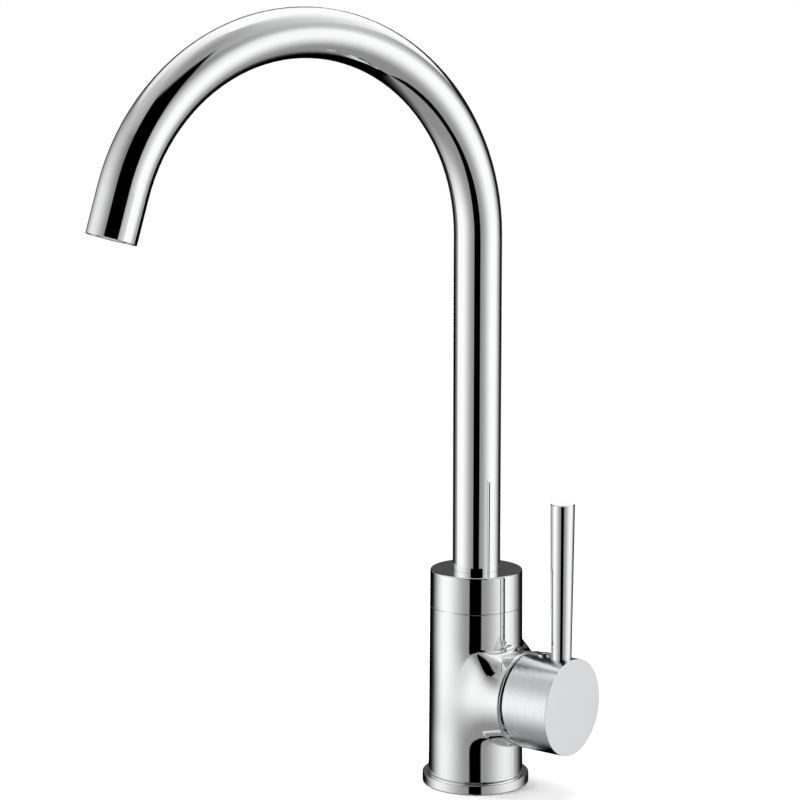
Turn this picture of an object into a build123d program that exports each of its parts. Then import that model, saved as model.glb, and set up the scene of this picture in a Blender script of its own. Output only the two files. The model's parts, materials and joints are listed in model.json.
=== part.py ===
from build123d import *
import os
from math import cos, hypot, pi, radians, sin, sqrt, tan

# Single-lever kitchen mixer tap: a body with a side branch, a gooseneck spout that turns in a
# collar on top of it, and a lever handle that works a ceramic disc cartridge in the branch.
# Millimetres and degrees. The origin is on the body's axis in the deck plane, +Z is up and
# +X runs along the branch. The pieces lie as with the tap shut and the lever upright.

# Base ring and its seal
ring_radius = 28.25
ring_height = 5.2
ring_round = 0.5
spigot_radius = 17.0
spigot_clearance = 0.1
seal_inner_radius = 20.5
seal_outer_radius = 24.5
seal_thickness = 1.8

# Body
body_foot_radius = 25.1
body_taper = 0.42
foot_round = 0.8
seam_height = 95.75
seam_chamfer = 0.15
branch_height = 50.1
branch_length = 32.5
branch_root_radius = 24.6
branch_rim_radius = 24.9
branch_upper_rise = 12.0
branch_lower_rise = 3.0
branch_shoulder_start = 10.0
branch_shoulder_end = 32.0
branch_sections = 8
branch_section_points = 32
branch_blend = 2.5
branch_rim_round = 1.4
# Sines of the turn about the branch between which the lower rise changes into the upper one
shoulder_change_low = -0.15
shoulder_change_high = 0.45

# Cheeks that soften the crease where the branch's sides run out of the body
cheek_softness = 2.4
cheek_back = 16.0
cheek_front = 22.0
cheek_reach = 22.0
cheek_back_fade = 18.0
cheek_front_fade = 6.0
cheek_reach_fade = 14.0
cheek_sink = 0.03
cheek_bury = 0.15
cheek_depth = 6.0
cheek_rows = 27
cheek_columns = 27
cheek_tolerance = 0.004

# Inlet sockets and fixing stud hole in the underside, and the drilled waterways
inlet_socket_radius = 4.5
inlet_socket_depth = 11.0
inlet_back = 6.0
inlet_spread = 8.5
inlet_drill_radius = 3.2
stud_hole_radius = 3.4
stud_hole_depth = 15.0
stud_hole_front = 10.0
outlet_drill_radius = 4.5
outlet_drill_back = 12.5

# Collar on the body's neck, and the spout's stem that turns in it
collar_height = 19.65
collar_roof = 5.4
collar_round = 0.8
collar_clearance = 0.15
neck_radius = 20.5
neck_top_gap = 0.4
thread_clearance = 0.05
stem_flange_radius = 16.2
stem_flange_thickness = 3.0
stem_radius = 13.6
stem_length = 22.0
stem_bore_radius = 9.0
stem_sleeve_height = 12.0
stem_running_clearance = 0.05
stem_end_room = 3.0
slip_washer_thickness = 1.0
slip_washer_clearance = 0.3
o_ring_wire_radius = 1.2
o_ring_depths = (6.0, 15.0)
o_ring_clearance = 0.05

# Spout tube
tube_radius = 12.5
tube_wall = 1.2
tube_edge_round = 0.3
bend_start_height = 291.6
bend_radius = 104.1
bend_angle = 163.15
outlet_straight = 23.1
spout_azimuth = 250.5
braze_clearance = 0.05

# Aerator in the outlet
aerator_recess = 1.2
aerator_length = 11.0
aerator_wall = 2.0
aerator_lip = 1.2
aerator_lip_height = 1.5
aerator_clearance = 0.05
aerator_key_slots = 4
aerator_key_width = 2.4
aerator_washer_thickness = 1.6
aerator_washer_width = 4.0
jet_pitch = 3.4
jet_radius = 1.25
jet_rings = 2

# Cartridge, measured inwards from the branch's rim
dome_seat_depth = 1.5
dome_radius = 21.3
dome_hole_radius = 11.7
dome_rise = 1.6
dome_wall = 0.9
dome_clearance = 0.1
nut_thickness = 4.4
nut_radius = 18.9
nut_slot_width = 3.0
nut_slot_depth = 2.0
case_radius = 17.5
case_wall = 1.9
case_roof = 2.0
case_neck_wall = 2.6
case_clearance = 0.1
rotor_neck_radius = 11.2
rotor_running_clearance = 0.06
rotor_flange_radius = 15.2
rotor_flange_thickness = 3.9
rotor_end_gap = 0.3
rotor_proud = 3.6
rotor_slot_width = 7.4
rotor_slot_height = 14.0
guide_gap = 0.15
guide_wall = 2.4
guide_height = 12.0
carrier_radius = 12.0
carrier_width = 18.0
carrier_thickness = 4.1
carrier_gap = 0.4
carrier_lug_width = 4.0
carrier_lug_length = 1.8
carrier_lug_depth = 1.5
moving_disc_radius = 11.5
moving_disc_thickness = 3.0
moving_disc_recess = 1.8
recess_half_width = 5.5
recess_skirt_half_width = 7.5
recess_top = 1.6
recess_waist = -3.4
recess_low = -6.5
fixed_disc_radius = 15.4
fixed_disc_thickness = 3.5
disc_film = 0.05
cartridge_base_thickness = 6.0
cartridge_foot_thickness = 2.2
cartridge_seat_gap = 0.2
peg_radius = 1.5
peg_length = 2.4
peg_spread = 11.0
peg_drop = 9.0
peg_clearance = 0.1
inlet_port_radius = 2.6
inlet_port_spread = 6.5
inlet_port_rise = 5.5
outlet_port_radius = 3.5
outlet_port_drop = 4.5
port_seal_gap = 0.3
port_seal_width = 1.5
port_seal_thickness = 1.5

# Spindle and its pivot
pivot_reach = 0.6
pivot_pin_radius = 1.5
pivot_pin_length = 20.0
pin_press_clearance = 0.02
pin_running_clearance = 0.04
spindle_square = 7.0
spindle_arm_radius = 1.9
spindle_ball_radius = 2.4
spindle_ball_drop = 14.6
spindle_block = 7.0
ball_clearance = 0.35
spindle_past_screw = 6.2

# Handle
hub_gap = 2.0
hub_radius = 25.4
hub_length = 27.2
hub_face_round = 0.3
hub_rear_round = 0.5
hub_relief = 6.5
hub_recess_radius = 20.5
hub_recess_depth = 13.5
hub_boss_radius = 8.5
hub_boss_setback = 3.6
hub_socket_clearance = 0.05
lever_inset = 7.45
lever_seat_depth = 1.1
lever_foot_radius = 5.35
lever_top_radius = 6.25
lever_length = 81.0
lever_top_chamfer = 0.4
lever_seat_clearance = 0.05
lever_stud_radius = 2.95
lever_stud_length = 22.0
lever_stud_clearance = 0.05
grub_screw_radius = 2.45
grub_screw_length = 8.0
grub_hex = 2.5
grub_hex_depth = 2.6
grub_clearance = 0.05
plug_setback = 9.05
plug_radius = 3.7
plug_shank = 4.3
plug_proud = 0.5
plug_dome = 0.5
plug_clearance = 0.08

# Heights along the body's axis, from the deck upwards
collar_top = seam_height + collar_height
collar_ceiling = collar_top - collar_roof
stem_flange_top = collar_ceiling - slip_washer_thickness
stem_flange_low = stem_flange_top - stem_flange_thickness
neck_floor = stem_flange_low - slip_washer_thickness
neck_top = collar_ceiling - neck_top_gap
stem_low = stem_flange_low - stem_length
stem_bore_low = stem_low - stem_end_room
o_ring_heights = [stem_flange_low - depth for depth in o_ring_depths]
neck_bore_radius = stem_flange_radius + slip_washer_clearance
tube_bore_radius = tube_radius - tube_wall

# Stations along the branch's axis, from the rim inwards
rim_x = branch_length
nut_front_x = rim_x - dome_seat_depth
shoulder_x = nut_front_x - nut_thickness
case_ceiling_x = shoulder_x - case_roof
rotor_flange_x = case_ceiling_x - rotor_end_gap - rotor_flange_thickness
carrier_top_x = rotor_flange_x - carrier_gap
carrier_low_x = carrier_top_x - carrier_thickness
moving_disc_x = carrier_low_x - moving_disc_thickness
fixed_disc_top_x = moving_disc_x - disc_film
fixed_disc_x = fixed_disc_top_x - fixed_disc_thickness
cartridge_base_x = fixed_disc_x - cartridge_base_thickness
cartridge_foot_x = cartridge_base_x + cartridge_foot_thickness
seat_x = cartridge_base_x - cartridge_seat_gap
rotor_top_x = rim_x + rotor_proud
case_bore_radius = case_radius - case_wall
case_neck_bore = rotor_neck_radius + rotor_running_clearance
case_neck_radius = case_neck_bore + case_neck_wall

# Stations outwards from the rim, and the handle's heights above the branch's axis
pivot_x = rim_x + pivot_reach
ball_x = pivot_x - spindle_ball_drop
hub_rear_x = rim_x + hub_gap
hub_face_x = hub_rear_x + hub_length
lever_x = hub_face_x - lever_inset
plug_x = hub_rear_x + plug_setback
spindle_end_x = plug_x + spindle_past_screw
lever_seat = hub_radius - lever_seat_depth
plug_seat = hub_radius + plug_proud - plug_shank
half_square = spindle_square / 2

# Frame along the branch: local Z is the branch's axis, local Y is up
BRANCH = Plane((0, 0, branch_height), x_dir=(0, 1, 0), z_dir=(1, 0, 0))
ON_END = (Align.CENTER, Align.CENTER, Align.MIN)
# Greatest value of sin * cos squared, where the shoulders stand highest
SHOULDER_PEAK = 2 / (3 * sqrt(3))
PORTS = (
    (inlet_port_spread, inlet_port_rise, inlet_port_radius),
    (-inlet_port_spread, inlet_port_rise, inlet_port_radius),
    (0, -outlet_port_drop, outlet_port_radius),
)


def body_radius(height):
    """Radius of the body's gently tapered outside at a height above the deck."""
    return body_foot_radius - height * tan(radians(body_taper))


def rod(radius, low, high):
    """Round bar about the local Z axis."""
    return Pos(0, 0, low) * Cylinder(radius, high - low, align=ON_END)


def taper(low_radius, high_radius, low, high):
    """Tapered round bar about the local Z axis."""
    return Pos(0, 0, low) * Cone(low_radius, high_radius, high - low, align=ON_END)


def ring(inner, outer, low, high):
    """Plain turned ring about the local Z axis."""
    return rod(outer, low, high) - rod(inner, low, high)


def block(width, height, low, high):
    """Square bar along the local Z axis."""
    return Pos(0, 0, low) * Box(width, height, high - low, align=ON_END)


def rims(part, radius, height):
    """Round edges of a turned part with this radius at this height."""
    circles = part.edges().filter_by(GeomType.CIRCLE)
    level = [e for e in circles if abs(e.arc_center.Z - height) < 0.01]
    return [e for e in level if abs(e.radius - radius) < 0.01]


def ports(low, high, wider=0.0):
    """Bars through the three water ports, in the branch's frame."""
    return [Pos(x, y, 0) * rod(r + wider, low, high) for x, y, r in PORTS]


def base_ring():
    """Ring under the body's foot, with a groove for the deck seal."""
    part = ring(spigot_radius + spigot_clearance, ring_radius, 0, ring_height)
    edges = rims(part, ring_radius, 0) + rims(part, ring_radius, ring_height)
    part = fillet(edges, ring_round)
    return part - ring(seal_inner_radius, seal_outer_radius, 0, seal_thickness)


def base_seal():
    """Flat rubber ring in the base ring's groove, flush with the deck."""
    return ring(seal_inner_radius, seal_outer_radius, 0, seal_thickness)


def ease(value, low, high):
    """Smooth rise from 0 to 1 between two values."""
    t = min(1, max(0, (value - low) / (high - low)))
    return t * t * (3 - 2 * t)


def branch_spot(along, turn):
    """Point of the branch's outline at a station: round at the rim, with shoulders towards the body."""
    radius = branch_root_radius + (branch_rim_radius - branch_root_radius) * along / rim_x
    t = (along - branch_shoulder_start) / (branch_shoulder_end - branch_shoulder_start)
    t = min(1, max(0, t))
    share = 1 - t ** 3 * (6 * t ** 2 - 15 * t + 10)
    upper = ease(sin(turn), shoulder_change_low, shoulder_change_high)
    rise = branch_lower_rise + (branch_upper_rise - branch_lower_rise) * upper
    shoulder = share * rise * sin(turn) * cos(turn) ** 2 / SHOULDER_PEAK
    return radius * cos(turn), radius * sin(turn) + shoulder


def branch_section(along):
    """Face across the branch at a station."""
    turns = [radians(360 * i / branch_section_points - 90) for i in range(branch_section_points)]
    outline = Spline(*[branch_spot(along, turn) for turn in turns], periodic=True)
    return BRANCH * Pos(0, 0, along) * make_face(outline)


def branch_half_width(along, level):
    """Half of the branch's width at a station, at a level above its axis."""
    low, high = -pi / 2, pi / 2
    while high - low > 1e-9:
        middle = (low + high) / 2
        if branch_spot(along, middle)[1] < level:
            low = middle
        else:
            high = middle
    return branch_spot(along, low)[0]


def cheek_spot(along, level):
    """Point of the soft surface that fills the crease, and that dives below the metal at its edges."""
    trunk = body_radius(branch_height + level)
    wall = sqrt(trunk ** 2 - along ** 2)
    side = branch_half_width(max(along, 0), level)
    if along < 0:
        side -= trunk - wall
    near = max(0, 1 - abs(wall - side) / cheek_softness)
    fill = cheek_softness / 4 * near ** 2
    behind = ease(-along, cheek_back - cheek_back_fade, cheek_back)
    before = ease(along, cheek_front - cheek_front_fade, cheek_front)
    beyond = ease(abs(level), cheek_reach - cheek_reach_fade, cheek_reach)
    dive = max(behind, before, beyond) * (cheek_softness / 4 + cheek_bury)
    return Vector(along, cheek_sink + dive - fill - max(wall, side), branch_height + level)


def cheek():
    """Soft fill on the branch's side towards -Y."""
    rows = []
    for i in range(cheek_rows):
        along = (cheek_front + cheek_back) * i / (cheek_rows - 1) - cheek_back
        levels = [cheek_reach * (2 * j / (cheek_columns - 1) - 1) for j in range(cheek_columns)]
        rows.append([cheek_spot(along, level) for level in levels])
    skin = Face.make_surface_from_array_of_points(rows, tol=cheek_tolerance)
    return Solid.extrude(skin, Vector(0, cheek_depth, 0))


def on_trunk(edge):
    """Whether an edge lies on the trunk's side, away from its ends."""
    spot = edge.position_at(0.5)
    on_side = abs(hypot(spot.X, spot.Y) - body_radius(spot.Z)) < 0.05
    return on_side and edge.geom_type == GeomType.BSPLINE


def body_outside():
    """Tapered body with the side branch blended into it, before any boring."""
    trunk = taper(body_radius(ring_height), body_radius(seam_height), ring_height, seam_height)
    last = branch_sections - 1
    branch = loft([branch_section(rim_x * i / last) for i in range(branch_sections)])
    branch = fillet(branch.faces().sort_by(Axis.X)[-1].edges(), branch_rim_round)
    tee = trunk + branch
    tee = fillet([e for e in tee.edges() if on_trunk(e)], branch_blend)
    side = cheek()
    tee = tee + side + mirror(side, Plane.XZ)
    tee = fillet(rims(tee, body_radius(ring_height), ring_height), foot_round)
    return chamfer(rims(tee, body_radius(seam_height), seam_height), seam_chamfer)


def waterways():
    """Drillings from the inlet sockets to the cartridge seat, and from there to the spout."""
    inlet_top = branch_height + inlet_port_rise + inlet_drill_radius
    outlet_low = branch_height - outlet_port_drop - outlet_drill_radius
    cuts = []
    for side in (-1, 1):
        at_socket = Pos(-inlet_back, side * inlet_spread, 0)
        cuts.append(at_socket * rod(inlet_socket_radius, 0, inlet_socket_depth))
        cuts.append(at_socket * rod(inlet_drill_radius, 0, inlet_top))
    cuts += [BRANCH * port for port in ports(-inlet_back, seat_x)[:2]]
    cuts.append(BRANCH * ports(-outlet_drill_back, seat_x)[2])
    cuts.append(Pos(-outlet_drill_back, 0, 0) * rod(outlet_drill_radius, outlet_low, stem_bore_low))
    cuts.append(Pos(stud_hole_front, 0, 0) * rod(stud_hole_radius, 0, stud_hole_depth))
    return cuts


def tap_body():
    """Body casting with its neck, foot spigot, cartridge chamber and waterways."""
    part = body_outside()
    part += rod(neck_radius, seam_height, neck_top)
    part += rod(spigot_radius, 0, ring_height)
    stem_bore = rod(stem_radius + stem_running_clearance, stem_bore_low, neck_top)
    counterbore = rod(neck_bore_radius, neck_floor, neck_top)
    chamber = rod(case_radius + case_clearance, seat_x, rim_x)
    chamber += rod(nut_radius + thread_clearance, shoulder_x, rim_x)
    chamber += rod(dome_radius + dome_clearance, nut_front_x, rim_x)
    pegs = [BRANCH * peg for peg in locating_pegs(peg_radius + peg_clearance)]
    return part - [stem_bore, counterbore, BRANCH * chamber] - pegs - waterways()


def locating_pegs(radius):
    """Two pegs that keep the cartridge from turning on its seat, in the branch's frame."""
    low = cartridge_base_x - peg_length
    return [Pos(side * peg_spread, -peg_drop, 0) * rod(radius, low, cartridge_base_x) for side in (-1, 1)]


def collar_nut():
    """Collar screwed on the neck, which carries the body's taper up and holds the stem down."""
    part = taper(body_radius(seam_height), body_radius(collar_top), seam_height, collar_top)
    part = chamfer(rims(part, body_radius(seam_height), seam_height), seam_chamfer)
    part = fillet(rims(part, body_radius(collar_top), collar_top), collar_round)
    part -= rod(neck_radius + thread_clearance, seam_height, collar_ceiling)
    return part - rod(tube_radius + collar_clearance, collar_ceiling, collar_top)


def slip_washers():
    """Plastic washers above and below the stem's flange."""
    outer = stem_flange_radius
    low = ring(stem_radius + slip_washer_clearance, outer, neck_floor, stem_flange_low)
    high = ring(tube_radius + slip_washer_clearance, outer, stem_flange_top, collar_ceiling)
    return low, high


def spout_stem():
    """Brass stem brazed into the tube, with its flange and two seal grooves."""
    part = rod(stem_radius, stem_low, stem_flange_low)
    part += rod(stem_flange_radius, stem_flange_low, stem_flange_top)
    part += rod(tube_bore_radius - braze_clearance, stem_flange_top, stem_flange_top + stem_sleeve_height)
    part -= rod(stem_bore_radius, stem_low, stem_flange_top + stem_sleeve_height)
    part = chamfer(rims(part, stem_radius, stem_low), o_ring_wire_radius / 2)
    groove_floor = stem_radius - 2 * o_ring_wire_radius
    for height in o_ring_heights:
        low, high = height - o_ring_wire_radius, height + o_ring_wire_radius
        part -= ring(groove_floor, stem_radius, low, high)
    return part


def stem_o_rings():
    """Two rubber rings in the stem's grooves."""
    wire = o_ring_wire_radius - o_ring_clearance
    centre = stem_radius - o_ring_wire_radius
    return Compound(children=[Pos(0, 0, height) * Torus(centre, wire) for height in o_ring_heights])


def outlet_plane():
    """Plane of the outlet's cut end, with its normal along the stream."""
    turn = radians(bend_angle)
    along = Vector(sin(turn), 0, cos(turn))
    bend_end = Vector(bend_radius * (1 - cos(turn)), 0, bend_start_height + bend_radius * sin(turn))
    return Plane(bend_end + along * outlet_straight, x_dir=(0, 1, 0), z_dir=along)


def gooseneck(radius):
    """Solid bar along the spout's line: riser, bend and straight end."""
    riser = rod(radius, stem_flange_top, bend_start_height)
    section = Pos(0, 0, bend_start_height) * Circle(radius)
    bend = revolve(section, Axis((bend_radius, 0, bend_start_height), (0, 1, 0)), bend_angle)
    return riser + bend + outlet_plane() * rod(radius, -outlet_straight, 0)


def spout_tube():
    """Bent tube with a softened outlet edge."""
    part = gooseneck(tube_radius) - gooseneck(tube_bore_radius)
    tip = outlet_plane().origin
    mouth = [e for e in part.edges().filter_by(GeomType.CIRCLE) if (e.arc_center - tip).length < 0.01]
    return fillet(mouth, tube_edge_round)


def aerator_housing():
    """Threaded ring sunk in the outlet, with a lip below and key slots."""
    outer = tube_bore_radius - thread_clearance
    low, high = -aerator_recess - aerator_length, -aerator_recess
    part = ring(outer - aerator_wall, outer, low, high)
    part += ring(outer - aerator_wall - aerator_lip, outer - aerator_wall, high - aerator_lip_height, high)
    slot = Pos(outer, 0, 0) * block(2 * aerator_wall, aerator_key_width, high - aerator_lip_height, high)
    step = 360 / aerator_key_slots
    part -= [Rot(0, 0, step * i) * slot for i in range(aerator_key_slots)]
    return outlet_plane() * part


def aerator_insert():
    """Plastic flow straightener with a honeycomb of round jets."""
    outer = tube_bore_radius - thread_clearance - aerator_wall - aerator_clearance
    low, high = -aerator_recess - aerator_length, -aerator_recess - aerator_lip_height
    part = rod(outer, low, high)
    jet = rod(jet_radius, low, high)
    rows = range(-jet_rings, jet_rings + 1)
    spots = [(a, b) for a in rows for b in rows if abs(a + b) <= jet_rings]
    across, up = jet_pitch, jet_pitch * sin(radians(60))
    part -= [Pos(across * (a + b / 2), up * b, 0) * jet for a, b in spots]
    return outlet_plane() * part


def aerator_washer():
    """Rubber washer above the aerator."""
    outer = tube_bore_radius - thread_clearance
    high = -aerator_recess - aerator_length
    part = ring(outer - aerator_washer_width, outer, high - aerator_washer_thickness, high)
    return outlet_plane() * part


def cartridge_case():
    """Plastic case round the discs, with a shoulder for the nut and a neck for the rotor."""
    part = ring(case_bore_radius, case_radius, cartridge_foot_x, shoulder_x)
    part += ring(case_neck_bore, case_radius, case_ceiling_x, shoulder_x)
    part += ring(case_neck_bore, case_neck_radius, shoulder_x, nut_front_x)
    return BRANCH * part


def cartridge_base():
    """Plastic foot of the cartridge, with three ports, seal grooves and locating pegs."""
    part = rod(case_radius, cartridge_base_x, cartridge_foot_x)
    part += rod(case_bore_radius - case_clearance, cartridge_foot_x, fixed_disc_x)
    part += locating_pegs(peg_radius)
    part -= ports(cartridge_base_x, fixed_disc_x)
    part -= [Pos(x, y, 0) * port_seal(r) for x, y, r in PORTS]
    return BRANCH * part


def port_seal(port_radius):
    """Rubber ring between the cartridge's foot and its seat, round one port."""
    inner = port_radius + port_seal_gap
    return ring(inner, inner + port_seal_width, seat_x, seat_x + port_seal_thickness)


def port_seals():
    """The three port seals."""
    return Compound(children=[BRANCH * (Pos(x, y, 0) * port_seal(r)) for x, y, r in PORTS])


def fixed_disc():
    """Lower ceramic disc with the three ports."""
    part = rod(fixed_disc_radius, fixed_disc_x, fixed_disc_top_x)
    return BRANCH * (part - ports(fixed_disc_x, fixed_disc_top_x))


def mixing_recess():
    """Bell-shaped outline of the pocket that joins the inlets to the outlet when lifted."""
    shoulder, skirt = recess_half_width, recess_skirt_half_width
    top, waist, low = recess_top, recess_waist, recess_low
    outline = Polyline(
        (-shoulder, top), (shoulder, top), (shoulder, waist), (skirt, waist),
        (skirt, low), (-skirt, low), (-skirt, waist), (-shoulder, waist), close=True)
    return make_face(outline)


def carrier_lugs(clearance):
    """Lugs at the carrier's rim that drive the moving disc, in the branch's frame."""
    width = carrier_lug_width + 2 * clearance
    depth = carrier_lug_depth + clearance
    lug = Pos(0, moving_disc_radius - depth / 2 + clearance / 2, 0)
    lug *= block(width, depth, carrier_low_x - carrier_lug_length, carrier_low_x)
    return [lug, Rot(0, 0, 180) * lug]


def moving_disc():
    """Upper ceramic disc with the mixing pocket in its lapped face."""
    part = rod(moving_disc_radius, moving_disc_x, carrier_low_x)
    pocket = extrude(Pos(0, 0, moving_disc_x) * mixing_recess(), moving_disc_recess)
    return BRANCH * (part - pocket - carrier_lugs(case_clearance))


def disc_carrier():
    """Plastic driver between the spindle's ball and the moving disc."""
    part = rod(carrier_radius, carrier_low_x, carrier_top_x)
    part &= block(carrier_width, 2 * carrier_radius, carrier_low_x, carrier_top_x)
    part += carrier_lugs(0)
    return BRANCH * (part - rod(spindle_ball_radius + ball_clearance, carrier_low_x, carrier_top_x))


def cartridge_rotor():
    """Plastic lever holder that turns in the case's neck and guides the carrier."""
    part = rod(rotor_flange_radius, rotor_flange_x, rotor_flange_x + rotor_flange_thickness)
    part += rod(rotor_neck_radius, rotor_flange_x, rotor_top_x)
    inner = carrier_width / 2 + guide_gap
    finger = Pos(inner + guide_wall / 2, 0, 0)
    finger *= block(guide_wall, guide_height, carrier_low_x + guide_gap, rotor_flange_x)
    part += [finger, Rot(0, 0, 180) * finger]
    part -= block(rotor_slot_width, rotor_slot_height, rotor_flange_x, rotor_top_x)
    return BRANCH * part - pivot_bar(pivot_pin_radius + pin_press_clearance, 2 * rotor_neck_radius)


def pivot_bar(radius, length):
    """Bar along the spindle's pivot axis."""
    return Pos(pivot_x, 0, branch_height) * Rot(90, 0, 0) * Cylinder(radius, length)


def pivot_pin():
    """Steel pin that the spindle tilts on."""
    return pivot_bar(pivot_pin_radius, pivot_pin_length)


def spindle():
    """Lever spindle: ball end, pivot block and the square that the handle fits on."""
    part = Pos(0, 0, ball_x) * Sphere(spindle_ball_radius)
    part += rod(spindle_arm_radius, ball_x, pivot_x)
    part += block(spindle_square, spindle_square, pivot_x - spindle_block / 2, spindle_end_x)
    return BRANCH * part - pivot_bar(pivot_pin_radius + pin_running_clearance, 2 * spindle_square)


def cartridge_nut():
    """Brass nut that clamps the cartridge on its seat, with two spanner slots."""
    part = ring(case_neck_radius + case_clearance, nut_radius, shoulder_x, nut_front_x)
    slot = block(2 * nut_radius, nut_slot_width, nut_front_x - nut_slot_depth, nut_front_x)
    return BRANCH * (part - slot)


def dome_cover():
    """Chromed cover over the nut, low enough for the handle to tilt above it."""
    low, lip, top = nut_front_x, rim_x, rim_x + dome_rise
    inner = dome_radius - dome_wall
    outside = Polyline((inner, low), (dome_radius, low), (dome_radius, lip))
    crown = RadiusArc((dome_radius, lip), (dome_hole_radius, top), -dome_radius)
    edge = Line((dome_hole_radius, top), (dome_hole_radius, top - dome_wall))
    hollow = RadiusArc((dome_hole_radius, top - dome_wall), (inner, lip - dome_wall), dome_radius)
    wall = Line((inner, lip - dome_wall), (inner, low))
    face = make_face([outside, crown, edge, hollow, wall])
    return BRANCH * revolve(Plane.XZ * face, Axis.Z)


def handle_hub():
    """Round handle hub on the spindle, relieved below so that it can tilt."""
    part = rod(hub_radius, hub_rear_x, hub_face_x)
    part = fillet(rims(part, hub_radius, hub_face_x), hub_face_round)
    part = BRANCH * part - relief_wedge()
    middle_x = (hub_rear_x + hub_face_x) / 2
    rear = [e for e in part.edges() if e.geom_type != GeomType.LINE and e.position_at(0.5).X < middle_x]
    part = fillet(rear, hub_rear_round)
    recess = ring(hub_boss_radius, hub_recess_radius, hub_rear_x, hub_rear_x + hub_recess_depth)
    recess += rod(hub_recess_radius, hub_rear_x, hub_rear_x + hub_boss_setback)
    socket = spindle_square + 2 * hub_socket_clearance
    recess += block(socket, socket, hub_rear_x, spindle_end_x + hub_socket_clearance)
    part -= BRANCH * recess
    part -= Pos(lever_x, 0, branch_height) * lever_seating()
    return part - Pos(plug_x, 0, branch_height) * screw_hole()


def relief_wedge():
    """Wedge cut from the lower half of the hub's rear, so that it clears the branch when tilted."""
    drop = 2 * hub_radius
    far = hub_rear_x + drop * tan(radians(hub_relief))
    outline = Polyline((hub_rear_x, 0), (far, -drop), (hub_rear_x, -drop), close=True)
    face = Plane((0, 0, branch_height), x_dir=(1, 0, 0), z_dir=(0, -1, 0)) * make_face(outline)
    return extrude(face, hub_radius, both=True)


def lever_seating():
    """Spot face and stud hole for the lever in the top of the hub."""
    foot = lever_foot_radius + lever_seat_clearance
    hole_low = lever_seat - lever_stud_length / 2
    cut = rod(foot, lever_seat, 2 * hub_radius)
    return cut + rod(lever_stud_radius + lever_stud_clearance, hole_low, lever_seat)


def screw_hole():
    """Tapped hole for the grub screw, opened out at the top for its plug."""
    cut = rod(grub_screw_radius + grub_clearance, 0, plug_seat)
    return cut + rod(plug_radius + plug_clearance, plug_seat, 2 * hub_radius)


def lever_rod():
    """Lever that widens upwards, with a tapped hole for its stud."""
    top = hub_radius + lever_length
    part = taper(lever_foot_radius, lever_top_radius, lever_seat, top)
    part = chamfer(rims(part, lever_top_radius, top), lever_top_chamfer)
    part -= rod(lever_stud_radius + lever_stud_clearance, lever_seat, lever_seat + lever_stud_length / 2)
    return Pos(lever_x, 0, branch_height) * part


def lever_stud():
    """Headless stud that joins the lever to the hub."""
    half = lever_stud_length / 2
    return Pos(lever_x, 0, branch_height) * rod(lever_stud_radius, lever_seat - half, lever_seat + half)


def grub_screw():
    """Socket screw that clamps the hub on the spindle's square."""
    top = half_square + grub_screw_length
    part = rod(grub_screw_radius, half_square, top)
    hexagon = Pos(0, 0, top) * RegularPolygon(grub_hex / 2, 6, major_radius=False)
    part -= extrude(hexagon, -grub_hex_depth)
    return Pos(plug_x, 0, branch_height) * part


def screw_plug():
    """Plain domed button over the grub screw."""
    rim = hub_radius + plug_proud
    bowl = (plug_radius ** 2 + plug_dome ** 2) / (2 * plug_dome)
    part = rod(plug_radius, plug_seat, rim)
    cap = Pos(0, 0, rim + plug_dome - bowl) * Sphere(bowl)
    cap &= rod(plug_radius, rim, rim + plug_dome)
    return Pos(plug_x, 0, branch_height) * (part + cap)


def main():
    """Build every piece and write one file for each."""
    turned_out = Rot(0, 0, spout_azimuth)
    lower_slip_washer, upper_slip_washer = slip_washers()
    pieces = {
        "tap_body": tap_body(),
        "base_ring": base_ring(),
        "base_seal": base_seal(),
        "collar_nut": collar_nut(),
        "lower_slip_washer": lower_slip_washer,
        "upper_slip_washer": upper_slip_washer,
        "spout_tube": turned_out * spout_tube(),
        "spout_stem": spout_stem(),
        "stem_o_rings": stem_o_rings(),
        "aerator_housing": turned_out * aerator_housing(),
        "aerator_insert": turned_out * aerator_insert(),
        "aerator_washer": turned_out * aerator_washer(),
        "cartridge_case": cartridge_case(),
        "cartridge_base": cartridge_base(),
        "port_seals": port_seals(),
        "fixed_ceramic_disc": fixed_disc(),
        "moving_ceramic_disc": moving_disc(),
        "disc_carrier": disc_carrier(),
        "cartridge_rotor": cartridge_rotor(),
        "pivot_pin": pivot_pin(),
        "spindle": spindle(),
        "cartridge_nut": cartridge_nut(),
        "dome_cover": dome_cover(),
        "handle_hub": handle_hub(),
        "lever_rod": lever_rod(),
        "lever_stud": lever_stud(),
        "grub_screw": grub_screw(),
        "screw_plug": screw_plug(),
    }
    os.makedirs("parts", exist_ok=True)
    for name, shape in pieces.items():
        export_step(shape, f"parts/{name}.step")


if __name__ == "__main__":
    main()
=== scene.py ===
import json
from math import acos, atan2, cos, degrees, exp, hypot, pi, radians, sin, sqrt, tan
from types import SimpleNamespace

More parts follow.
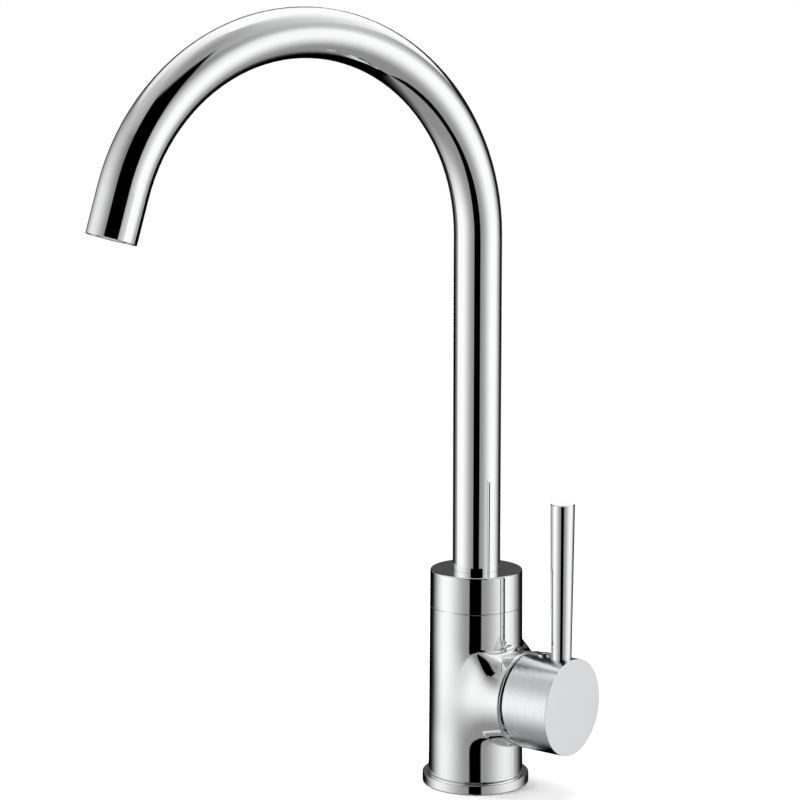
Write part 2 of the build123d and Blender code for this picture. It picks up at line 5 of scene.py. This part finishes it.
import bpy
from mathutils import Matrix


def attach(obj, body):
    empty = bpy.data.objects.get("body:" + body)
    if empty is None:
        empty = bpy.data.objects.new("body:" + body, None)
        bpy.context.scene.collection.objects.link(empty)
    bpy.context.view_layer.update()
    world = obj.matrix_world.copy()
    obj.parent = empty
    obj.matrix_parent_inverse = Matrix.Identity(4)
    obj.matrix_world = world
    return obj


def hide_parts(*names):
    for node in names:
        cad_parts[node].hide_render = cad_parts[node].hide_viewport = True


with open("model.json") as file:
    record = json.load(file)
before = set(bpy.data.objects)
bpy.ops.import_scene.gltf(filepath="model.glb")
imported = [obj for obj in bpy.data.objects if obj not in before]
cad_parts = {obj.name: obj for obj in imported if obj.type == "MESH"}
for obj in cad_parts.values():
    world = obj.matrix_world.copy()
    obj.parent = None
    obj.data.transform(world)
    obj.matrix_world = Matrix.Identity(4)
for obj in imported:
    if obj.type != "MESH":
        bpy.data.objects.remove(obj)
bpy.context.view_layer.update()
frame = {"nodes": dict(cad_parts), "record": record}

# Camera in metres and radians, with the branch turned to its right
BRANCH_TURN = radians(37.7)
CAMERA_SIDE, CAMERA_DISTANCE, CAMERA_HEIGHT = -0.0461, 1.2927, 0.4083
CAMERA_PITCH, CAMERA_YAW = 0.154, 0.0047
FOCAL_PIXELS = 2507.0
IMAGE_PIXELS = 800
OPTICAL_CENTRE = (400.5, 395.4)
SENSOR_WIDTH = 36

# Body and branch in millimetres, as the solids have them
FOOT_RADIUS = 25.1
TAPER = tan(radians(0.42))
BRANCH_HEIGHT = 50.1
BRANCH_ROOT, BRANCH_RIM, BRANCH_LENGTH = 24.6, 24.9, 32.5
# Shoulders of the branch: their rise above and below, where round the branch the one passes into the other,
# where they run out along it, and the peak of the curve that shapes them
UPPER_RISE, LOWER_RISE = 12.0, 3.0
RISE_SINES = (-0.15, 0.45)
RISE_START, RISE_END = 10.0, 32.0
RISE_PEAK = 2 / (3 * sqrt(3))
# Soft fill where the branch runs out of the body: least and greatest softness, and its radius
FILL_LEAST, FILL_MOST, FILL_RADIUS = 4.4, 9.0, 22.0
# The skin's span along the branch and, in degrees, round it, and how far it runs down the body
SKIN_ALONG = (-22.0, 24.0)
SKIN_TURN = (-68.0, 52.0)
SKIN_REACH = 40.0
SKIN_COLUMNS, SKIN_ROWS = 116, 120
# How far the skin stands proud of the solid, and how far it sinks from there at its edges
SKIN_LIFT, SKIN_TUCK = 0.02, 0.027

# In metres: the hub's face along the branch with its edge, and the collar's lower edge with its band of
# painted shade, a painted shadow line in the seam
HUB_FACE, FACE_EDGE = 0.0617, (-0.0003, -0.0001)
SEAM_HEIGHT, PAINTED_SEAM_SHADE_BAND = 0.09575, (0.0003, 0.0007)

# Studio in metres
TENT_RADIUS, TENT_MIDDLE = 2.4, 0.2
TENT_STEPS, TENT_ROWS = 240, 90
FLOOR_RADIUS, FLOOR_DROP = 2.2, 0.0002
FLOOR_FADE = (0.12, 0.6)
# The tent's sides, in degrees from the camera or above the table: where the white wall brightens, dims
# upwards, ends at the back (and how much later above the table) and passes into the table, where the roof is
# brightest, how far it hangs down at the back and how deep its darker strip is
LEFT = SimpleNamespace(wall_rise=(22, 84), wall_dim=(-2, 40), wall_end=(89, 142), end_shift=23,
                       table=(-6, -57), roof_rise=190, roof_hang=7, roof_strip=0.22)
RIGHT = SimpleNamespace(wall_rise=(16, 74), wall_dim=(12, 32), wall_end=(82, 140), end_shift=0,
                        table=(-4, -53), roof_rise=165, roof_hang=16, roof_strip=0.0)
# Rays that miss the tent and its cards
BLIND_RAYS = ("camera", "diffuse", "shadow", "transmission", "volume_scatter")
# Cards behind the tap: left, right, lower and upper edge, distance and shade
CARDS = {
    "black_card": (-0.40, 0.40, 0.25, 0.53, 0.29, 0.01),
    "white_card": (0.17, 0.246, 0.60, 0.65, 2.3, 1.0),
}
# Lamps: place to the camera's right, away from it and above the deck, size and power
LAMPS = {
    "left_lamp": (-1.3, -0.5, 1.1, 1.0, 16),
    "right_lamp": (1.3, -0.6, 1.0, 1.0, 14),
    "top_lamp": (0.0, 0.2, 1.7, 1.4, 22),
}
LAMP_AIM = 0.15

# Sockets of the colour mix, whose names repeat
MIX_AMOUNT, MIX_LOW, MIX_HIGH, MIX_RESULT = 0, 6, 7, 2


class Value:
    """A socket that takes part in sums, so that shader maths reads as plain expressions."""

    def __init__(self, finish, socket):
        self.finish = finish
        self.socket = socket

    def _math(self, operation, first, second):
        return self.finish.node("ShaderNodeMath", {"operation": operation}, {0: first, 1: second})

    def __add__(self, other):
        return self._math("ADD", self, other)

    def __mul__(self, other):
        return self._math("MULTIPLY", self, other)

    def __radd__(self, other):
        return self._math("ADD", other, self)

    def __rsub__(self, other):
        return self._math("SUBTRACT", other, self)

    def __rmul__(self, other):
        return self._math("MULTIPLY", other, self)

    def at_most(self, other):
        return self._math("MINIMUM", self, other)


class Finish:
    """Node tree of one surface, and the few ways in which it is built."""

    def __init__(self, tree):
        self.tree = tree
        self.tree.nodes.clear()

    def node(self, kind, settings=None, inputs=None, output=0):
        """Adds a node, with its settings first and then the values or links of its sockets."""
        made = self.tree.nodes.new(kind)
        for key, value in (settings or {}).items():
            setattr(made, key, value)
        for key, value in (inputs or {}).items():
            if isinstance(value, Value):
                self.tree.links.new(value.socket, made.inputs[key])
            else:
                made.inputs[key].default_value = value
        return Value(self, made.outputs[output]) if len(made.outputs) else made

    def place(self, stretch=(1, 1, 1)):
        """Position on the object in metres, stretched along each axis."""
        where = self.node("ShaderNodeTexCoord", output="Object")
        return self.node("ShaderNodeMapping", {}, {"Vector": where, "Scale": stretch})

    def axis(self, name):
        """Position along one axis in metres."""
        return self.node("ShaderNodeSeparateXYZ", {}, {"Vector": self.place()}, output=name)

    def noise(self, scale, detail, rough=0.5, stretch=(1, 1, 1)):
        inputs = {"Vector": self.place(stretch), "Scale": scale, "Detail": detail, "Roughness": rough}
        return self.node("ShaderNodeTexNoise", {}, inputs)

    def tint(self, amount, low, high):
        """Colour between two others, of which the lower may come from a socket."""
        low = low if isinstance(low, Value) else (*low, 1)
        inputs = {MIX_AMOUNT: amount, MIX_LOW: low, MIX_HIGH: (*high, 1)}
        return self.node("ShaderNodeMix", {"data_type": "RGBA"}, inputs, output=MIX_RESULT)

    def step(self, value, low, high):
        """Smooth rise from 0 to 1 between two values."""
        inputs = {"Value": value, "From Min": low, "From Max": high}
        return self.node("ShaderNodeMapRange", {"interpolation_type": "SMOOTHSTEP"}, inputs)

    def bump(self, height, strength, distance):
        inputs = {"Height": height, "Strength": strength, "Distance": distance}
        return self.node("ShaderNodeBump", {}, inputs)

    def skin(self, **inputs):
        """Principled shader with these sockets."""
        names = {key.replace("_", " ").title(): value for key, value in inputs.items()}
        return self.node("ShaderNodeBsdfPrincipled", {}, names)

    def glow(self, level):
        return self.node("ShaderNodeEmission", {}, {"Color": (*grey(level), 1)})

    def mixed(self, amount, first, second):
        """Two shaders, from the first at 0 to the second at 1."""
        return self.node("ShaderNodeMixShader", {}, {0: amount, 1: first, 2: second})

    def end(self, shader, kind="ShaderNodeOutputMaterial"):
        self.node(kind, {}, {"Surface": shader})


def new_finish(name):
    material = bpy.data.materials.new(name)
    material.use_nodes = True
    return material, Finish(material.node_tree)


def grey(level):
    return (level, level, level)


def polished_chrome(name, painted_seam_shade=0.0):
    """Mirror-bright plating, with the faintest cloud of wiping marks, and painted shade that darkens a thin
    band in the collar's seam.
    """
    material, f = new_finish(name)
    cloud = f.noise(38, detail=4)
    wipe = f.noise(900, detail=2, stretch=(1, 1, 0.12))
    colour = f.tint(cloud, (0.95, 0.955, 0.962), (0.985, 0.988, 0.99))
    # Painted shade: a thin band at the foot of the collar is darkened towards grey, a painted shadow line
    # where it meets the body
    if painted_seam_shade:
        above = f.step(f.axis("Z"), SEAM_HEIGHT + PAINTED_SEAM_SHADE_BAND[0], SEAM_HEIGHT + PAINTED_SEAM_SHADE_BAND[1])
        colour = f.tint(painted_seam_shade * (1 - above), colour, grey(0.3))
    rough = 0.018 + 0.022 * f.step(cloud, 0.45, 0.75) + 0.012 * f.step(wipe, 0.55, 0.75)
    ripple = f.bump(f.noise(55, detail=2), strength=0.05, distance=0.0004)
    f.end(f.skin(base_color=colour, metallic=1.0, roughness=rough, normal=ripple))
    return material


def satin_chrome():
    """Plating over a fine turned grain that runs round the hub, with an evenly blasted face."""
    material, f = new_finish("satin_chrome")
    grain = f.noise(1.0, detail=3, rough=0.6, stretch=(9000, 60, 60))
    cloud = f.noise(70, detail=3)
    colour = f.tint(grain, (0.94, 0.955, 0.985), (0.975, 0.987, 1.0))
    face = f.step(f.axis("X"), HUB_FACE + FACE_EDGE[0], HUB_FACE + FACE_EDGE[1])
    rough = 0.08 + 0.06 * grain + 0.03 * cloud + 0.1 * face
    lines = f.bump(grain * (1 - face), strength=0.6, distance=0.00008)
    f.end(f.skin(base_color=colour, metallic=1 - 0.21 * face, roughness=rough, normal=lines))
    return material


def machined(name, dark, light, rough):
    """Bare turned metal with tool marks."""
    material, f = new_finish(name)
    marks = f.noise(1.0, detail=2, stretch=(900, 900, 5200))
    tarnish = f.noise(160, detail=4)
    colour = f.tint(0.6 * marks + 0.5 * tarnish, dark, light)
    lines = f.bump(marks, strength=0.2, distance=0.00003)
    f.end(f.skin(base_color=colour, metallic=1.0, roughness=rough + 0.14 * tarnish, normal=lines))
    return material


def rubber():
    """Black rubber with a little dust."""
    material, f = new_finish("black_rubber")
    dust = f.noise(420, detail=5, rough=0.65)
    colour = f.tint(f.step(dust, 0.4, 0.8), grey(0.018), grey(0.05))
    specks = f.bump(dust, strength=0.25, distance=0.00006)
    f.end(f.skin(base_color=colour, roughness=0.62 + 0.2 * dust, normal=specks))
    return material


def moulded(name, dark, light):
    """Moulded plastic with a fine spark texture."""
    material, f = new_finish(name)
    spark = f.noise(2600, detail=2)
    flow = f.noise(60, detail=3)
    colour = f.tint(0.4 * spark + 0.6 * flow, dark, light)
    pits = f.bump(spark, strength=0.2, distance=0.00003)
    f.end(f.skin(base_color=colour, roughness=0.38 + 0.16 * spark, normal=pits))
    return material


def ceramic():
    """Lapped alumina."""
    material, f = new_finish("ceramic")
    speck = f.noise(1800, detail=4, rough=0.6)
    colour = f.tint(f.step(speck, 0.35, 0.75), (0.82, 0.81, 0.77), (0.93, 0.925, 0.90))
    f.end(f.skin(base_color=colour, roughness=0.2 + 0.12 * speck, coat_weight=0.15))
    return material


def dress():
    """Gives every piece the finish of its slot."""
    finishes = {
        "polished_chrome": polished_chrome("polished_chrome"),
        # Same plating with a painted shadow line darkening the collar's seam
        "collar_chrome_painted_seam_shade": polished_chrome("collar_chrome_painted_seam_shade", painted_seam_shade=0.6),
        "satin_chrome": satin_chrome(),
        "brass": machined("brass", (0.46, 0.31, 0.11), (0.80, 0.63, 0.33), rough=0.22),
        "steel": machined("steel", (0.42, 0.42, 0.43), (0.66, 0.66, 0.68), rough=0.24),
        "black_rubber": rubber(),
        "white_plastic": moulded("white_plastic", (0.74, 0.74, 0.72), (0.88, 0.88, 0.86)),
        "grey_plastic": moulded("grey_plastic", (0.24, 0.25, 0.27), (0.40, 0.41, 0.43)),
        "ceramic": ceramic(),
    }
    # The ring in the outlet is plated where it shows, and the collar has painted shade in its seam
    own = {"aerator_housing": "polished_chrome", "collar_nut": "collar_chrome_painted_seam_shade"}
    for piece in frame["record"]["subparts"]:
        for slot in frame["nodes"][piece["node"]].material_slots:
            slot.material = finishes[own.get(piece["node"], piece["material_slot"])]


def ease(value, low, high):
    """Smooth rise from 0 to 1 between two values, or a fall where low is the greater."""
    t = min(1, max(0, (value - low) / (high - low)))
    return t * t * (3 - 2 * t)


def spread(ends, steps):
    """Evenly spaced values from one end to the other."""
    return [ends[0] + (ends[1] - ends[0]) * i / steps for i in range(steps + 1)]


def branch_spot(along, turn):
    """Point of the branch's outline: across it and above its axis."""
    t = min(1, max(0, (along - RISE_START) / (RISE_END - RISE_START)))
    rise = LOWER_RISE + (UPPER_RISE - LOWER_RISE) * ease(sin(turn), *RISE_SINES)
    rise *= (1 - t ** 3 * (6 * t ** 2 - 15 * t + 10)) / RISE_PEAK
    radius = BRANCH_ROOT + (BRANCH_RIM - BRANCH_ROOT) * along / BRANCH_LENGTH
    return radius * cos(turn), radius * sin(turn) + rise * sin(turn) * cos(turn) ** 2


def trunk_reach(along, across, up):
    """Distance from the branch's axis to the body's outside, along a ray square to that axis."""
    reach = FOOT_RADIUS
    for _ in range(4):
        radius = FOOT_RADIUS - (BRANCH_HEIGHT + reach * up) * TAPER
        reach = sqrt(max(0, radius ** 2 - along ** 2)) / across
    return reach


def fill_spot(along, turn):
    """Point of the soft skin over the crease between body and branch."""
    across, up = branch_spot(max(along, 0), turn)
    branch = hypot(across, up)
    across, up = across / branch, up / branch
    trunk = trunk_reach(along, across, up)
    gap = abs(trunk_reach(max(along, 0), across, up) - branch)
    span = FILL_MOST - FILL_LEAST
    softness = FILL_MOST - span * exp(-FILL_RADIUS * (up / across) ** 2 / 2 / span)
    fill = softness / 6 * max(0, 1 - gap / softness) ** 3
    about = degrees(turn)
    # The fill fades out round the body, over the branch and under it
    fill *= ease(along, -21, 0) * ease(about, 42, 12) * ease(about, -68, -45)
    reach = max(trunk, branch) if along > 0 else trunk
    # All round, and low on the body, the skin sinks into the solid
    edge = max(ease(along, -8, SKIN_ALONG[0]), ease(along, 12, SKIN_ALONG[1]),
               ease(about, -44, SKIN_TURN[0]), ease(about, 36, SKIN_TURN[1]),
               ease(-reach * up, SKIN_REACH - 20, SKIN_REACH))
    reach += fill + SKIN_LIFT - SKIN_TUCK * edge
    return along, -reach * across, BRANCH_HEIGHT + reach * up


def skin_faces(points):
    """Faces of the skin's grid, down to its lowest reach."""
    faces = []
    for column in range(SKIN_COLUMNS):
        for row in range(SKIN_ROWS):
            a = column * (SKIN_ROWS + 1) + row
            b = a + SKIN_ROWS + 1
            corners = (a, a + 1, b + 1, b)
            if max(BRANCH_HEIGHT - points[k][2] for k in corners) < SKIN_REACH:
                faces.append(corners)
    return faces


def blended_body():
    """Body as in the CAD, with a soft skin over the crease where its branch runs out of its sides."""
    solid = frame["nodes"]["tap_body"]
    turns = [radians(about) for about in spread(SKIN_TURN, SKIN_ROWS)]
    points = [fill_spot(along, turn) for along in spread(SKIN_ALONG, SKIN_COLUMNS) for turn in turns]
    faces = skin_faces(points)
    pieces = [solid.copy()]
    pieces[0].data = solid.data.copy()
    for side in (1, -1):
        mesh = bpy.data.meshes.new("branch_skin")
        in_metres = [(x / 1000, side * y / 1000, z / 1000) for x, y, z in points]
        mesh.from_pydata(in_metres, [], [corners[::side] for corners in faces])
        mesh.shade_smooth()
        mesh.materials.append(solid.data.materials[0])
        pieces.append(bpy.data.objects.new("branch_skin", mesh))
    for piece in pieces:
        bpy.context.scene.collection.objects.link(piece)
    with bpy.context.temp_override(active_object=pieces[0], selected_editable_objects=pieces):
        bpy.ops.object.join()
    body = pieces[0]
    body.name = "blended_body"
    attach(body, "root")
    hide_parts("tap_body")


def turned(side, away):
    """Point given to the camera's right and away from it, turned into the tap's own axes."""
    return (side * cos(BRANCH_TURN) - away * sin(BRANCH_TURN),
            side * sin(BRANCH_TURN) + away * cos(BRANCH_TURN))


def camera():
    made = bpy.data.objects.new("camera", bpy.data.cameras.new("camera"))
    bpy.context.scene.collection.objects.link(made)
    made.location = (*turned(CAMERA_SIDE, -CAMERA_DISTANCE), CAMERA_HEIGHT)
    made.rotation_euler = (pi / 2 - CAMERA_PITCH, 0, BRANCH_TURN - CAMERA_YAW)
    made.data.sensor_width = SENSOR_WIDTH
    made.data.lens = FOCAL_PIXELS / IMAGE_PIXELS * SENSOR_WIDTH
    made.data.shift_x = (IMAGE_PIXELS / 2 - OPTICAL_CENTRE[0]) / IMAGE_PIXELS
    made.data.shift_y = (OPTICAL_CENTRE[1] - IMAGE_PIXELS / 2) / IMAGE_PIXELS
    made.data.clip_end = 20
    bpy.context.scene.camera = made


def darkness(azimuth, height):
    """How far the black cloths of the light tent cover a direction, seen from the tap.

    Azimuth runs in degrees from the camera, to the right positive, and height in degrees above
    the table. White walls stand left and right, brightest abreast of the tap, with black cloth
    behind it, a roof that brightens towards the back and a black flag round the camera.
    """
    away = abs(azimuth)
    side = RIGHT if azimuth > 0 else LEFT
    wall = 0.3 + 0.76 * ease(away, *side.wall_rise)
    wall *= 1 - 0.5 * ease(height, *side.wall_dim)
    wall_start, wall_end = side.wall_end
    wall *= ease(away, wall_end + side.end_shift * ease(height, -4, 6), wall_start)
    table = 0.27 * ease(away, 160, 105)
    wall += (table - wall) * ease(height, *side.table)
    haze = 0.075 * ease(away, 100, 135) * ease(height, -2, 8)
    roof = 0.28 + 0.79 * ease(away, 0, side.roof_rise)
    roof += (0.45 - roof) * ease(height, 70, 85) * ease(away, 100, 60)
    strip = ease(away, 55, 80) * ease(away, 122, 100) * ease(height, 38, 46) * ease(height, 62, 54)
    roof *= 1 - side.roof_strip * strip
    roof_edge = 38 - side.roof_hang * ease(away, 100, 140)
    roof *= ease(height, roof_edge - 7, roof_edge + 7)
    flag_left = -19 - 11.5 * ease(height, 0, 5) + 11.5 * ease(height, -14, -42)
    flag_right = 11 + 18 * ease(height, -2, 3) + 6 * ease(height, -36, -52) + 5 * ease(height, -52, -66)
    flag = ease(azimuth, flag_left - 1, flag_left + 1) * ease(azimuth, flag_right + 1, flag_right - 1)
    flag *= ease(height, 57, 51)
    return 1 - min(1, max(wall, haze, roof) * (1 - flag))


def hang(name, points, faces, material):
    """Cloth or card of the light tent, which only the polished metal sees."""
    mesh = bpy.data.meshes.new(name)
    mesh.from_pydata(points, [], faces)
    mesh.materials.append(material)
    made = bpy.data.objects.new(name, mesh)
    bpy.context.scene.collection.objects.link(made)
    for ray in BLIND_RAYS:
        setattr(made, "visible_" + ray, False)
    return mesh


def light_tent():
    """Black cloths hung round the white set, denser where it is to look dark."""
    points, shades, faces = [], [], []
    for row in range(TENT_ROWS + 1):
        height = -90 + 180 * row / TENT_ROWS
        flat = TENT_RADIUS * cos(radians(height))
        up = TENT_MIDDLE + TENT_RADIUS * sin(radians(height))
        for step in range(TENT_STEPS):
            azimuth = -180 + 360 * step / TENT_STEPS
            side, away = flat * sin(radians(azimuth)), -flat * cos(radians(azimuth))
            points.append((*turned(side, away), up))
            shades.append(darkness(azimuth, height))
    for row in range(TENT_ROWS):
        for step in range(TENT_STEPS):
            a = row * TENT_STEPS + step
            b = row * TENT_STEPS + (step + 1) % TENT_STEPS
            faces.append((a, b, b + TENT_STEPS, a + TENT_STEPS))
    material, f = new_finish("black_cloth")
    cover = f.node("ShaderNodeAttribute", {"attribute_name": "cover"}, output="Fac")
    f.end(f.mixed(cover, f.node("ShaderNodeBsdfTransparent"), f.glow(0.0)))
    mesh = hang("black_cloths", points, faces, material)
    mesh.attributes.new("cover", "FLOAT", "POINT").data.foreach_set("value", shades)


def card(name, left, right, low, high, away, shade):
    """Upright card behind the tap."""
    corners = ((left, low), (right, low), (right, high), (left, high))
    material, f = new_finish(name)
    f.end(f.glow(shade))
    hang(name, [(*turned(side, away), up) for side, up in corners], [(0, 1, 2, 3)], material)


def seen(f):
    """1 for the rays that show a thing to the camera, straight or in metal and glass."""
    straight = f.node("ShaderNodeLightPath", output="Is Camera Ray")
    glossy = f.node("ShaderNodeLightPath", output="Is Glossy Ray")
    through = f.node("ShaderNodeLightPath", output="Is Transmission Ray")
    return (straight + glossy + through).at_most(1)


def white_world():
    """White all round, which lights the tap more softly than it looks."""
    world = bpy.data.worlds.new("studio")
    world.use_nodes = True
    bpy.context.scene.world = world
    f = Finish(world.node_tree)
    soft, white = (f.node("ShaderNodeBackground", {}, {"Color": (*grey(1.0), 1), "Strength": strength})
                   for strength in (0.55, 1.0))
    f.end(f.mixed(seen(f), soft, white), "ShaderNodeOutputWorld")


def pale_floor():
    """Pale floor that runs out into white."""
    where = (0, 0, -FLOOR_DROP)
    bpy.ops.mesh.primitive_circle_add(vertices=96, radius=FLOOR_RADIUS, fill_type="NGON", location=where)
    floor = bpy.context.object
    floor.name = "floor"
    floor.visible_glossy = False
    material, f = new_finish("pale_floor")
    spot = f.node("ShaderNodeNewGeometry", output="Position")
    out = f.node("ShaderNodeVectorMath", {"operation": "LENGTH"}, {0: spot}, output="Value")
    paper = f.node("ShaderNodeBsdfDiffuse", {}, {"Color": (*grey(0.93), 1)})
    f.end(f.mixed(f.step(out, *FLOOR_FADE), paper, f.glow(1.0)))
    floor.data.materials.append(material)


def soft_lamp(name, side, away, up, size, power):
    """Round lamp that points at the tap, and that the polished metal doesn't see."""
    lamp = bpy.data.objects.new(name, bpy.data.lights.new(name, "AREA"))
    lamp.data.shape = "DISK"
    lamp.data.size = size
    lamp.data.energy = power
    bpy.context.scene.collection.objects.link(lamp)
    x, y = turned(side, away)
    rise = up - LAMP_AIM
    lamp.location = (x, y, up)
    lamp.rotation_euler = (acos(rise / hypot(x, y, rise)), 0, atan2(y, x) + pi / 2)
    lamp.visible_glossy = False


dress()
blended_body()
camera()
light_tent()
for name, sizes in CARDS.items():
    card(name, *sizes)
white_world()
pale_floor()
for name, sizes in LAMPS.items():
    soft_lamp(name, *sizes)
bpy.context.scene.view_settings.view_transform = "Standard"
